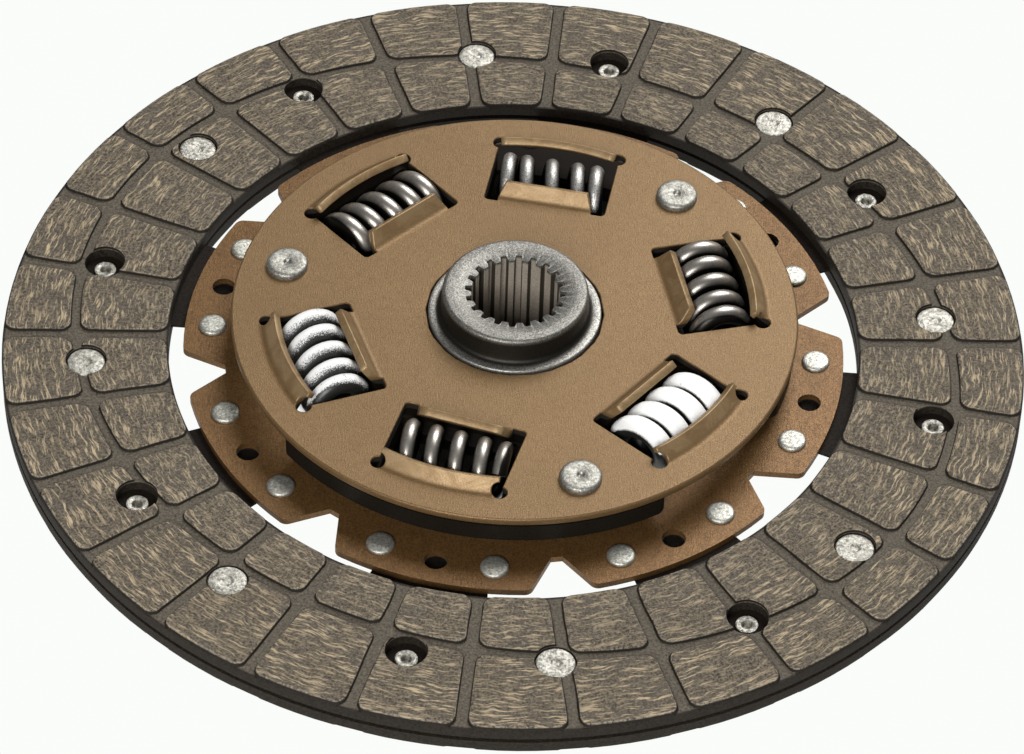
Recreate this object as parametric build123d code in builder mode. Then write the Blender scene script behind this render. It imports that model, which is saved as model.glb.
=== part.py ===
from build123d import *

import os
from math import cos, hypot, pi, radians, sin

# A passenger-car clutch disc: two riveted friction facings on spring-steel cushion segments,
# a lobed carrier plate and a side plate joined by stop pins, and between them a splined hub
# whose flange turns against six coil springs.
# Millimetres. The hub axis is Z, the gearbox side points up, and z = 0 is the rear facing's
# rubbing face, on which the disc lies.

os.makedirs("parts", exist_ok=True)

# Friction facings
facing_outer_radius = 110.0
facing_inner_radius = 74.4
facing_thickness = 3.3
groove_count = 30
groove_width = 2.3
groove_depth = 0.9
groove_start_angle = 1.85
middle_groove_width = 1.8
middle_groove_long_radius = 97.3
middle_groove_short_radius = 87.4
middle_groove_angle = 150.0

# Facing rivets, which hold each facing to the cushion segments from its own side
facing_rivet_circle_radius = 92.0
front_rivet_angle = 6.7
rear_rivet_angle = 32.7
facing_rivet_head_radius = 3.8
facing_rivet_head_height = 0.7
facing_rivet_shank_radius = 2.4
facing_rivet_tail_height = 0.65
facing_rivet_hollow_radius = 1.0
facing_rivet_hollow_depth = 1.4
facing_web_under_head = 1.2
facing_clearance_hole_radius = 4.4

# Cushion segments
segment_count = 8
segment_thickness = 0.6
segment_wave_height = 0.15
segment_wave_count = 3
segment_span_angle = 43.0
segment_rim_inset = 2.0
segment_blade_inset = 3.1
segment_blade_angle = 10.0
segment_neck_half_angle = 10.0
segment_foot_half_angle = 13.6
segment_foot_inner_radius = 61.8
segment_foot_outer_radius = 69.6
facing_gap = 1.0

# Lobed carrier plate
lobe_angle = 32.13
carrier_thickness = 1.5
lobe_radius = 71.2
notch_root_radius = 62.4
notch_root_half_width = 1.2
notch_mouth_half_width = 6.9
notch_root_round = 1.5
lobe_corner_round = 2.0
segment_rivet_circle_radius = 65.2
segment_rivet_half_angle = 10.8
segment_rivet_head_radius = 3.0
segment_rivet_head_height = 0.9
segment_rivet_shank_radius = 2.0
segment_rivet_tail_radius = 2.8
segment_rivet_tail_height = 0.8
tooling_hole_radius = 2.5

# Side plate
plate_radius = 60.8
plate_thickness = 1.8
plate_edge_chamfer = 0.5
plate_spacing = 8.2

# Spring windows, in pairs beside each stop pin
pin_angle = 46.96
pin_count = 3
window_offset_angle = 33.4
window_half_length = 13.4
window_inner_edge = 34.4
window_outer_radius = 54.2
window_slot_width = 3.0
window_slot_depth = 1.3
window_slot_round = 1.2
relief_hole_radius = 1.65
relief_hole_distance = 51.5
relief_hole_inset = 0.2
relief_hole_rise = 1.6
outer_lip_tip_radius = 51.65
outer_lip_height = 3.0
outer_lip_half_angle = 14.4
inner_lip_tip_distance = 36.2
inner_lip_height = 3.2
inner_lip_root_half_length = 10.4
inner_lip_tip_half_length = 9.1
rear_lip_share = 0.55
lip_root_overlap = 0.6

# Damper springs: wire radius, turns, and how many turns at each end lie closed
spring_centre_radius = 42.9
spring_outer_radius = 7.4
spring_end_gap = 0.1
spring_closed_gap = 0.05
slim_spring = (1.75, 5.0, 1.5)
open_slim_spring = (1.75, 4.7, 0.75)
middle_spring = (2.1, 4.5, 1.0)
stout_spring = (2.4, 4.0, 0.75)
spring_steps_per_turn = 12
spring_wire_sides = 6

# Hub
flange_thickness = 4.2
flange_radius = 60.3
pocket_inner_edge = 34.9
pocket_outer_edge = 51.2
pocket_corner_round = 1.0
open_pocket_flare_start = 49.0
open_pocket_rim_half_width = 19.6
arm_corner_round = 2.5
hub_top_radius = 15.6
hub_wall_radius = 15.9
hub_collar_radius = 18.6
hub_rear_radius = 16.5
hub_rise = 6.5
collar_rise = 0.5
hub_rear_level = 0.9
hub_edge_chamfer = 0.9
hub_wall_flare = 1.1
collar_edge_chamfer = 0.3
hub_mouth_radius = 13.0
hub_mouth_depth = 1.6
hub_rear_chamfer = 1.0
spline_teeth = 20
spline_root_radius = 10.8
spline_tip_radius = 9.4
spline_gap_root_width = 1.2
spline_gap_tip_width = 1.75
spline_angle = 15.4

# Stop pins and the hub's travel
pin_circle_radius = 50.8
pin_body_radius = 3.6
pin_end_radius = 2.8
pin_head_radius = 4.5
pin_front_head_height = 1.5
pin_rear_head_height = 1.2
pin_head_chamfer = 0.6
hub_travel_angle = 8.0

# Friction parts round the hub
friction_inner_radius = 20.0
friction_outer_radius = 31.0
rear_washer_inner_radius = 17.2
front_washer_thickness = 0.7
rear_washer_thickness = 0.9
support_washer_thickness = 0.8
disc_spring_thickness = 0.7
bush_wall = 1.5
bush_collar_width = 2.5
bush_collar_thickness = 0.9
bush_top_gap = 0.2

# Clearances
running_clearance = 0.05
rivet_clearance = 0.1
collar_clearance = 0.5
pin_slot_clearance = 0.3

# Radii that follow the facings
segment_outer_radius = facing_outer_radius - segment_rim_inset
segment_blade_inner_radius = facing_inner_radius + segment_blade_inset

# Levels up the axis, from the rear facing's rubbing face
rear_facing_top = facing_thickness
front_facing_base = rear_facing_top + facing_gap
front_facing_top = front_facing_base + facing_thickness
segment_base = rear_facing_top + facing_gap / 2 - segment_thickness / 2
segment_top = segment_base + segment_thickness
carrier_base = segment_top
carrier_top = carrier_base + carrier_thickness
plate_base = carrier_top + plate_spacing
plate_top = plate_base + plate_thickness
flange_top = plate_base - front_washer_thickness
flange_base = flange_top - flange_thickness
spring_level = (flange_top + flange_base) / 2
hub_top = plate_top + hub_rise
collar_top = plate_top + collar_rise

window_angles = [
    pin_angle + 360 / pin_count * pair + side * window_offset_angle
    for pair in range(pin_count)
    for side in (-1, 1)
]


def turned(level, angle):
    """The horizontal plane at a level, with its X axis turned to an angle."""
    return Plane((0, 0, level), x_dir=(cos(radians(angle)), sin(radians(angle)), 0), z_dir=(0, 0, 1))


def section_plane(angle):
    """The upright plane through the axis at an angle, with radius along X and height along Y."""
    outward = (cos(radians(angle)), sin(radians(angle)), 0)
    return Plane((0, 0, 0), x_dir=outward, z_dir=(sin(radians(angle)), -cos(radians(angle)), 0))


def save(piece, name):
    piece.label = name
    export_step(piece, f"parts/{name}.step")


# ---- Friction facings ----
def facing_tiles():
    """The raised tiles between the radial grooves and the middle groove."""
    with BuildSketch() as tiles:
        Circle(facing_outer_radius)
        Circle(facing_inner_radius, mode=Mode.SUBTRACT)
        with PolarLocations(
            (facing_outer_radius + facing_inner_radius) / 2, groove_count, start_angle=groove_start_angle
        ):
            Rectangle(
                2 * (facing_outer_radius - facing_inner_radius), groove_width, mode=Mode.SUBTRACT
            )
        middle_groove = Ellipse(
            middle_groove_long_radius + middle_groove_width / 2,
            middle_groove_short_radius + middle_groove_width / 2,
            rotation=middle_groove_angle,
            mode=Mode.PRIVATE,
        ) - Ellipse(
            middle_groove_long_radius - middle_groove_width / 2,
            middle_groove_short_radius - middle_groove_width / 2,
            rotation=middle_groove_angle,
            mode=Mode.PRIVATE,
        )
        add(middle_groove, mode=Mode.SUBTRACT)
    return tiles.sketch


def facing(rubbing_level, inward, own_rivet_angle, other_rivet_angle):
    """One facing: its rubbing face at a level, its body reaching inward (+1 up, -1 down)."""
    tiles = facing_tiles()
    floor_level = rubbing_level + inward * groove_depth
    back_level = rubbing_level + inward * facing_thickness
    with BuildPart() as ring:
        with BuildSketch(Plane.XY.offset(floor_level)):
            Circle(facing_outer_radius)
            Circle(facing_inner_radius, mode=Mode.SUBTRACT)
        extrude(amount=inward * (facing_thickness - groove_depth))
        with BuildSketch(Plane.XY.offset(floor_level)):
            add(tiles)
        extrude(amount=-inward * groove_depth)
        with BuildSketch(Plane.XY.offset(back_level)):
            with PolarLocations(facing_rivet_circle_radius, segment_count, start_angle=other_rivet_angle):
                Circle(facing_clearance_hole_radius)
            with PolarLocations(facing_rivet_circle_radius, segment_count, start_angle=own_rivet_angle):
                Circle(facing_rivet_shank_radius + rivet_clearance)
        extrude(amount=-inward * facing_thickness, mode=Mode.SUBTRACT)
        with BuildSketch(Plane.XY.offset(rubbing_level)):
            with PolarLocations(facing_rivet_circle_radius, segment_count, start_angle=own_rivet_angle):
                Circle(facing_clearance_hole_radius)
        extrude(amount=inward * (facing_thickness - facing_web_under_head), mode=Mode.SUBTRACT)
    return ring.part


front_facing = facing(front_facing_top, -1, front_rivet_angle, rear_rivet_angle)
save(front_facing, "front_facing")
rear_facing = facing(0.0, 1, rear_rivet_angle, front_rivet_angle)
save(rear_facing, "rear_facing")


# ---- Facing rivets ----
def facing_rivets(facing_back, inward, angle):
    """Eight flat-headed hollow rivets, whose tails are set against the far side of the segments."""
    head_seat = facing_back - inward * facing_web_under_head
    head_face = head_seat - inward * facing_rivet_head_height
    if inward > 0:
        tail_end = segment_top + facing_rivet_tail_height
    else:
        tail_end = segment_base - facing_rivet_tail_height
    with BuildPart() as rivets:
        with BuildSketch(Plane.XY.offset(head_face)):
            with PolarLocations(facing_rivet_circle_radius, segment_count, start_angle=angle):
                Circle(facing_rivet_head_radius)
        extrude(amount=inward * facing_rivet_head_height)
        with BuildSketch(Plane.XY.offset(head_seat)):
            with PolarLocations(facing_rivet_circle_radius, segment_count, start_angle=angle):
                Circle(facing_rivet_shank_radius)
        extrude(amount=tail_end - head_seat)
        with BuildSketch(Plane.XY.offset(tail_end)):
            with PolarLocations(facing_rivet_circle_radius, segment_count, start_angle=angle):
                Circle(facing_rivet_hollow_radius)
        extrude(amount=-inward * facing_rivet_hollow_depth, mode=Mode.SUBTRACT)
    return rivets.part


save(facing_rivets(front_facing_base, -1, front_rivet_angle), "front_facing_rivets")
save(facing_rivets(rear_facing_top, 1, rear_rivet_angle), "rear_facing_rivets")


# ---- Cushion segments ----
def sector(inner_radius, outer_radius, half_angle, centre_angle=0.0):
    """A flat ring sector centred on an angle."""
    reach = 2 * outer_radius
    with BuildSketch() as shape:
        Circle(outer_radius)
        Circle(inner_radius, mode=Mode.SUBTRACT)
        with BuildSketch(mode=Mode.INTERSECT):
            with BuildLine():
                start = radians(centre_angle - half_angle)
                end = radians(centre_angle + half_angle)
                Polyline(
                    (0, 0),
                    (reach * cos(start), reach * sin(start)),
                    (reach * cos(end), reach * sin(end)),
                    (0, 0),
                )
            make_face()
    return shape.sketch


def wave_strip(radius):
    """The side view of a waved strip, as long as a segment at a radius, about height 0."""
    half_length = radius * radians(segment_span_angle / 2) + segment_outer_radius * 0.1
    crests = 2 * segment_wave_count + 1
    step = 2 * half_length / crests
    knots = [(-half_length + step * (n + 0.5), segment_wave_height * (-1) ** n) for n in range(crests)]
    knots = [(-half_length, 0)] + knots + [(half_length, 0)]
    upper = [(x, y + segment_thickness / 2) for x, y in knots]
    lower = [(x, y - segment_thickness / 2) for x, y in knots]
    with BuildSketch() as strip:
        with BuildLine():
            Polyline(upper + lower[::-1] + upper[:1])
        make_face()
    return strip.sketch


def cushion_segment(number):
    """A waved blade between the facings, with a flat neck and foot under its lobe."""
    foot_angle = lobe_angle + 360 / segment_count * number
    blade_centre = foot_angle + segment_blade_angle
    middle = rear_facing_top + facing_gap / 2
    rivet_hole_radius = facing_rivet_shank_radius + rivet_clearance
    with BuildPart() as segment:
        outward = (cos(radians(blade_centre)), sin(radians(blade_centre)), 0)
        across = (-sin(radians(blade_centre)), cos(radians(blade_centre)), 0)
        with BuildSketch(Plane((0, 0, middle), x_dir=across, z_dir=outward)):
            add(wave_strip(segment_outer_radius))
        extrude(amount=segment_outer_radius + 1)
        with BuildSketch(turned(segment_base - 1, blade_centre)):
            add(sector(segment_blade_inner_radius, segment_outer_radius, segment_span_angle / 2))
        extrude(amount=segment_thickness + 2, mode=Mode.INTERSECT)
        with BuildSketch(turned(segment_base, foot_angle)):
            add(sector(segment_foot_inner_radius, segment_foot_outer_radius, segment_foot_half_angle))
            add(
                sector(
                    (segment_foot_inner_radius + segment_foot_outer_radius) / 2,
                    segment_blade_inner_radius + 2.0,
                    segment_neck_half_angle,
                )
            )
        extrude(amount=segment_thickness)
        with BuildSketch(Plane.XY.offset(segment_base - 1)):
            with PolarLocations(facing_rivet_circle_radius, segment_count, start_angle=front_rivet_angle):
                Circle(rivet_hole_radius)
            with PolarLocations(facing_rivet_circle_radius, segment_count, start_angle=rear_rivet_angle):
                Circle(rivet_hole_radius)
            for side in (-1, 1):
                rivet_angle = foot_angle + side * segment_rivet_half_angle
                with PolarLocations(segment_rivet_circle_radius, 1, start_angle=rivet_angle):
                    Circle(segment_rivet_shank_radius + rivet_clearance)
            with PolarLocations(segment_rivet_circle_radius, 1, start_angle=foot_angle):
                Circle(tooling_hole_radius)
        extrude(amount=segment_thickness + 2, mode=Mode.SUBTRACT)
    return segment.part


for number in range(segment_count):
    save(cushion_segment(number), f"cushion_segment_{number + 1}")


# ---- Spring windows of the two plates ----
def window_outline():
    """A window pointing along X: straight sides, a round outer edge, and slots beside the inner lip."""
    with BuildSketch() as window:
        with Locations(((window_inner_edge + facing_inner_radius) / 2, 0)):
            Rectangle(facing_inner_radius - window_inner_edge, 2 * window_half_length)
        Circle(window_outer_radius, mode=Mode.INTERSECT)
        for side in (-1, 1):
            slot_middle = side * (window_half_length - window_slot_width / 2)
            with Locations((window_inner_edge, slot_middle)):
                RectangleRounded(2 * window_slot_depth, window_slot_width, window_slot_round)
    return window.sketch


def lip_points(root, tip, height, bottom, thickness):
    """The section of a lip bent up from a plate: its root, its slope and its square tip."""
    slope = hypot(tip - root, height)
    along = ((tip - root) / slope, height / slope)
    inward = 1 if tip > root else -1
    across = (along[1] * inward, -along[0] * inward)
    inner_tip = (tip + thickness * across[0], height + thickness * across[1])
    drop = (inner_tip[1] - bottom) / along[1]
    inner_root = (inner_tip[0] - along[0] * drop, bottom)
    behind = root - inward * lip_root_overlap
    return [(behind, 0), (root, 0), (tip, height), inner_tip, inner_root, (behind, bottom)]


def outer_lip(angle, face_level, up, share, thickness):
    """The lip along a window's outer edge, on the face at a level, rising (up 1) or hanging (up -1)."""
    points = lip_points(
        window_outer_radius,
        window_outer_radius + share * (outer_lip_tip_radius - window_outer_radius),
        share * outer_lip_height,
        -thickness,
        thickness,
    )
    with BuildPart() as lip:
        with BuildSketch(section_plane(angle - outer_lip_half_angle)):
            with BuildLine():
                Polyline([(r, face_level + up * h) for r, h in points + points[:1]])
            make_face()
        revolve(axis=Axis.Z, revolution_arc=2 * outer_lip_half_angle)
    return lip.part


def inner_lip(angle, face_level, up, share, thickness):
    """The straight lip along a window's inner edge, its ends slanting in towards the tip."""
    root = window_inner_edge - lip_root_overlap
    points = lip_points(
        root,
        root + share * (inner_lip_tip_distance - root),
        share * inner_lip_height,
        -thickness,
        thickness,
    )
    slope = (inner_lip_root_half_length - inner_lip_tip_half_length) / (
        inner_lip_tip_distance - window_inner_edge
    )
    reach = inner_lip_tip_distance + thickness
    far_half_length = inner_lip_root_half_length - slope * (reach - window_inner_edge)
    with BuildPart() as lip:
        with BuildSketch(section_plane(angle)):
            with BuildLine():
                Polyline([(r, face_level + up * h) for r, h in points + points[:1]])
            make_face()
        extrude(amount=inner_lip_root_half_length, both=True)
        with BuildSketch(turned(face_level, angle)):
            with BuildLine():
                Polyline(
                    (root - thickness, -inner_lip_root_half_length),
                    (window_inner_edge, -inner_lip_root_half_length),
                    (reach, -far_half_length),
                    (reach, far_half_length),
                    (window_inner_edge, inner_lip_root_half_length),
                    (root - thickness, inner_lip_root_half_length),
                    (root - thickness, -inner_lip_root_half_length),
                )
            make_face()
        extrude(amount=2 * inner_lip_height, both=True, mode=Mode.INTERSECT)
    return lip.part


def relief_holes(angle, face_level, up, share, thickness):
    """The round holes at the ends of a window's outer lip, which bite into the lip's root."""
    with BuildPart() as holes:
        with BuildSketch(turned(face_level - up * thickness, angle)):
            for side in (-1, 1):
                with Locations((relief_hole_distance, side * (window_half_length - relief_hole_inset))):
                    Circle(relief_hole_radius)
        extrude(amount=up * (thickness + share * relief_hole_rise))
    return holes.part


# ---- Lobed carrier plate ----
def rim_notch():
    """A notch pointing along X, widening from its root to beyond the lobes' rim."""
    slope = (notch_mouth_half_width - notch_root_half_width) / (lobe_radius - notch_root_radius)
    reach = lobe_radius + 2
    far_half_width = notch_root_half_width + slope * (reach - notch_root_radius)
    with BuildSketch() as notch:
        with BuildLine():
            Polyline(
                (notch_root_radius, -notch_root_half_width),
                (reach, -far_half_width),
                (reach, far_half_width),
                (notch_root_radius, notch_root_half_width),
                (notch_root_radius, -notch_root_half_width),
            )
        make_face()
    return notch.sketch


with BuildPart() as carrier_plate:
    with BuildSketch(Plane.XY.offset(carrier_base)) as carrier_outline:
        Circle(lobe_radius)
        with PolarLocations(0, segment_count, start_angle=lobe_angle + 180 / segment_count):
            add(rim_notch(), mode=Mode.SUBTRACT)
        rim_corners = carrier_outline.vertices().group_by(lambda v: round(hypot(v.X, v.Y), 1))
        fillet(rim_corners[-1], lobe_corner_round)
        fillet(rim_corners[0], notch_root_round)
        Circle(hub_rear_radius + bush_wall + 2 * running_clearance, mode=Mode.SUBTRACT)
        with PolarLocations(segment_rivet_circle_radius, segment_count, start_angle=lobe_angle):
            Circle(tooling_hole_radius, mode=Mode.SUBTRACT)
        for side in (-1, 1):
            rivet_angle = lobe_angle + side * segment_rivet_half_angle
            with PolarLocations(segment_rivet_circle_radius, segment_count, start_angle=rivet_angle):
                Circle(segment_rivet_shank_radius + rivet_clearance, mode=Mode.SUBTRACT)
        with PolarLocations(pin_circle_radius, pin_count, start_angle=pin_angle):
            Circle(pin_end_radius + rivet_clearance, mode=Mode.SUBTRACT)
    extrude(amount=carrier_thickness)
    for angle in window_angles:
        with BuildSketch(turned(carrier_base, angle)):
            add(window_outline())
        extrude(amount=carrier_thickness, mode=Mode.SUBTRACT)
    for angle in window_angles:
        lip_values = (angle, carrier_base, -1, rear_lip_share, carrier_thickness)
        add(outer_lip(*lip_values))
        add(inner_lip(*lip_values))
        add(relief_holes(*lip_values), mode=Mode.SUBTRACT)
save(carrier_plate.part, "carrier_plate")


# ---- Side plate ----
with BuildPart() as side_plate:
    with BuildSketch(Plane.XY.offset(plate_base)):
        Circle(plate_radius)
        Circle(hub_collar_radius + collar_clearance, mode=Mode.SUBTRACT)
        with PolarLocations(pin_circle_radius, pin_count, start_angle=pin_angle):
            Circle(pin_end_radius + rivet_clearance, mode=Mode.SUBTRACT)
    extrude(amount=plate_thickness)
    rim = side_plate.edges().filter_by(GeomType.CIRCLE).sort_by(Edge.length)[-2:]
    chamfer(rim.sort_by(Axis.Z)[-1], plate_edge_chamfer)
    for angle in window_angles:
        with BuildSketch(turned(plate_base, angle)):
            add(window_outline())
        extrude(amount=plate_thickness, mode=Mode.SUBTRACT)
    for angle in window_angles:
        lip_values = (angle, plate_top, 1, 1.0, plate_thickness)
        add(outer_lip(*lip_values))
        add(inner_lip(*lip_values))
        add(relief_holes(*lip_values), mode=Mode.SUBTRACT)
save(side_plate.part, "side_plate")


# ---- Damper springs ----
def spring_offset(turn, turns, closed_turns, closed_pitch, open_pitch):
    """How far along its axis the wire's centre has come at a turn, counted from the spring's middle."""
    open_half = turns / 2 - closed_turns
    open_part = min(abs(turn), open_half)
    closed_part = max(abs(turn) - open_half, 0)
    distance = open_part * open_pitch + closed_part * closed_pitch
    return distance if turn >= 0 else -distance


def damper_spring(angle, wire_radius, turns, closed_turns, start_angle):
    """A right-hand compression spring lying across a window, its end turns closed."""
    closed_pitch = 2 * wire_radius + spring_closed_gap
    wire_length = 2 * (window_half_length - spring_end_gap - wire_radius)
    open_pitch = (wire_length - 2 * closed_turns * closed_pitch) / (turns - 2 * closed_turns)
    coil_radius = spring_outer_radius - wire_radius
    outward = Vector(cos(radians(angle)), sin(radians(angle)), 0)
    along = Vector(sin(radians(angle)), -cos(radians(angle)), 0)
    centre = outward * spring_centre_radius + Vector(0, 0, spring_level)
    steps = round(turns * spring_steps_per_turn)
    points = []
    for step in range(steps + 1):
        turn = turns * (step / steps - 0.5)
        phase = radians(start_angle) + 2 * pi * turn
        offset = spring_offset(turn, turns, closed_turns, closed_pitch, open_pitch)
        points.append(
            centre
            + outward * (coil_radius * cos(phase))
            + Vector(0, 0, coil_radius * sin(phase))
            + along * offset
        )
    with BuildPart() as spring:
        with BuildLine() as wire:
            Polyline(points)
        with BuildSketch(Plane(wire.line @ 0, z_dir=wire.line % 0)):
            RegularPolygon(wire_radius, spring_wire_sides)
        sweep(transition=Transition.RIGHT)
    return spring.part


spring_kinds = [
    (middle_spring, 90),
    (slim_spring, 90),
    (middle_spring, 90),
    (stout_spring, 270),
    (open_slim_spring, 270),
    (stout_spring, 270),
]
for number, (kind, start_angle) in enumerate(spring_kinds):
    spring = damper_spring(window_angles[number], *kind, start_angle)
    save(spring, f"damper_spring_{number + 1}")


# ---- Hub ----
def hub_body():
    """The turned hub before its pockets, slots and spline are cut."""
    with BuildPart() as body:
        with BuildSketch(Plane.XZ) as section:
            with BuildLine():
                Polyline(
                    (spline_tip_radius, hub_rear_level + hub_rear_chamfer),
                    (spline_tip_radius + 2 * hub_rear_chamfer, hub_rear_level),
                    (hub_rear_radius, hub_rear_level),
                    (hub_rear_radius, flange_base),
                    (flange_radius, flange_base),
                    (flange_radius, flange_top),
                    (hub_collar_radius, flange_top),
                    (hub_collar_radius, collar_top),
                    (hub_wall_radius, collar_top),
                    (hub_top_radius, hub_top),
                    (hub_mouth_radius, hub_top),
                    (spline_tip_radius, hub_top - hub_mouth_depth),
                    (spline_tip_radius, hub_rear_level + hub_rear_chamfer),
                )
            make_face()
            for radius, level, size in (
                (hub_top_radius, hub_top, hub_edge_chamfer),
                (hub_wall_radius, collar_top, hub_wall_flare),
                (hub_collar_radius, collar_top, collar_edge_chamfer),
            ):
                corner = section.vertices().sort_by(lambda v: hypot(v.X - radius, v.Y - level))[0]
                chamfer(corner, size)
        revolve(axis=Axis.Z)
    return body.part


def spline_gap():
    """The space between two spline teeth pointing along X, from the bore out to its root."""
    bore_side = spline_tip_radius - 1
    slope = (spline_gap_tip_width - spline_gap_root_width) / (spline_root_radius - spline_tip_radius) / 2
    bore_half_width = spline_gap_root_width / 2 + slope * (spline_root_radius - bore_side)
    with BuildSketch() as gap:
        with BuildLine():
            Polyline(
                (bore_side, -bore_half_width),
                (spline_root_radius, -spline_gap_root_width / 2),
                (spline_root_radius, spline_gap_root_width / 2),
                (bore_side, bore_half_width),
                (bore_side, -bore_half_width),
            )
        make_face()
    return gap.sketch


with BuildPart() as hub:
    add(hub_body())
    for angle in window_angles[0::2]:
        with BuildSketch(turned(flange_base, angle)) as closed_pocket:
            with Locations(((pocket_inner_edge + pocket_outer_edge) / 2, 0)):
                Rectangle(pocket_outer_edge - pocket_inner_edge, 2 * window_half_length)
            fillet(closed_pocket.vertices(), pocket_corner_round)
        extrude(amount=flange_thickness, mode=Mode.SUBTRACT)
    for angle in window_angles[1::2]:
        with BuildSketch(turned(flange_base, angle)) as open_pocket:
            with BuildLine():
                Polyline(
                    (pocket_inner_edge, -window_half_length),
                    (open_pocket_flare_start, -window_half_length),
                    (flange_radius + 1, -open_pocket_rim_half_width),
                    (flange_radius + 1, open_pocket_rim_half_width),
                    (open_pocket_flare_start, window_half_length),
                    (pocket_inner_edge, window_half_length),
                    (pocket_inner_edge, -window_half_length),
                )
            make_face()
            fillet(open_pocket.vertices().group_by(Axis.X)[0], pocket_corner_round)
        extrude(amount=flange_thickness, mode=Mode.SUBTRACT)
    arm_corners = (
        hub.edges()
        .filter_by(Axis.Z)
        .filter_by(lambda e: abs(hypot(e.center().X, e.center().Y) - flange_radius) < 0.01)
    )
    fillet(arm_corners, arm_corner_round)
    for pair in range(pin_count):
        slot_angle = pin_angle + 360 / pin_count * pair
        with BuildSketch(Plane.XY.offset(flange_base)):
            SlotArc(
                CenterArc(
                    (0, 0), pin_circle_radius, slot_angle - hub_travel_angle, 2 * hub_travel_angle
                ),
                2 * (pin_body_radius + pin_slot_clearance),
            )
        extrude(amount=flange_thickness, mode=Mode.SUBTRACT)
    with BuildSketch(Plane.XY.offset(hub_rear_level)):
        with PolarLocations(0, spline_teeth, start_angle=spline_angle):
            add(spline_gap())
    extrude(amount=hub_top - hub_rear_level, mode=Mode.SUBTRACT)
save(hub.part, "hub")


# ---- Stop pins and segment rivets ----
def shouldered_pins(angles, circle_radius, levels, radii):
    """Turned pins standing on a circle, each a stack of cylinders between the levels."""
    with BuildPart() as pins:
        for low, high, radius in zip(levels, levels[1:], radii):
            with BuildSketch(Plane.XY.offset(low)):
                for angle in angles:
                    with PolarLocations(circle_radius, 1, start_angle=angle):
                        Circle(radius)
            extrude(amount=high - low)
    return pins.part


with BuildPart() as stop_pins:
    add(
        shouldered_pins(
            [pin_angle + 360 / pin_count * pair for pair in range(pin_count)],
            pin_circle_radius,
            [
                carrier_base - pin_rear_head_height,
                carrier_base,
                carrier_top,
                plate_base,
                plate_top,
                plate_top + pin_front_head_height,
            ],
            [pin_head_radius, pin_end_radius, pin_body_radius, pin_end_radius, pin_head_radius],
        )
    )
    head_rims = stop_pins.edges().group_by(Axis.Z)[-1]
    chamfer(head_rims, pin_head_chamfer)
save(stop_pins.part, "stop_pins")

segment_rivets = shouldered_pins(
    [
        lobe_angle + 360 / segment_count * number + side * segment_rivet_half_angle
        for number in range(segment_count)
        for side in (-1, 1)
    ],
    segment_rivet_circle_radius,
    [
        segment_base - segment_rivet_tail_height,
        segment_base,
        carrier_top,
        carrier_top + segment_rivet_head_height,
    ],
    [segment_rivet_tail_radius, segment_rivet_shank_radius, segment_rivet_head_radius],
)
save(segment_rivets, "segment_rivets")


# ---- Friction parts and centring bush ----
def washer(base, thickness, inner_radius):
    """A flat ring of the friction stack, as wide as the others at its rim."""
    with BuildPart() as ring:
        with BuildSketch(Plane.XY.offset(base)):
            Circle(friction_outer_radius)
            Circle(inner_radius, mode=Mode.SUBTRACT)
        extrude(amount=thickness)
    return ring.part


rear_washer_base = flange_base - rear_washer_thickness
support_washer_base = rear_washer_base - support_washer_thickness
save(washer(flange_top, front_washer_thickness, friction_inner_radius), "front_friction_washer")
save(washer(rear_washer_base, rear_washer_thickness, rear_washer_inner_radius), "rear_friction_washer")
save(washer(support_washer_base, support_washer_thickness, friction_inner_radius), "support_washer")

with BuildPart() as disc_spring:
    with BuildSketch(Plane.XZ):
        with BuildLine():
            Polyline(
                (friction_inner_radius, support_washer_base - disc_spring_thickness),
                (friction_inner_radius, support_washer_base),
                (friction_outer_radius, carrier_top + disc_spring_thickness),
                (friction_outer_radius, carrier_top),
                (friction_inner_radius, support_washer_base - disc_spring_thickness),
            )
        make_face()
    revolve(axis=Axis.Z)
save(disc_spring.part, "disc_spring")

with BuildPart() as centring_bush:
    bush_inner_radius = hub_rear_radius + running_clearance
    bush_outer_radius = bush_inner_radius + bush_wall
    with BuildSketch(Plane.XY.offset(carrier_base - bush_collar_thickness)):
        Circle(bush_outer_radius)
        Circle(bush_inner_radius, mode=Mode.SUBTRACT)
    extrude(amount=rear_washer_base - bush_top_gap - carrier_base + bush_collar_thickness)
    with BuildSketch(Plane.XY.offset(carrier_base - bush_collar_thickness)):
        Circle(bush_outer_radius + bush_collar_width)
        Circle(bush_inner_radius, mode=Mode.SUBTRACT)
    extrude(amount=bush_collar_thickness)
save(centring_bush.part, "centring_bush")
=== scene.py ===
from math import asin, atan2, ceil, cos, hypot, pi, radians, sin, sqrt

import bmesh
import bpy
from mathutils import Matrix, Vector, noise
from mathutils.geometry import delaunay_2d_cdt


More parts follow.
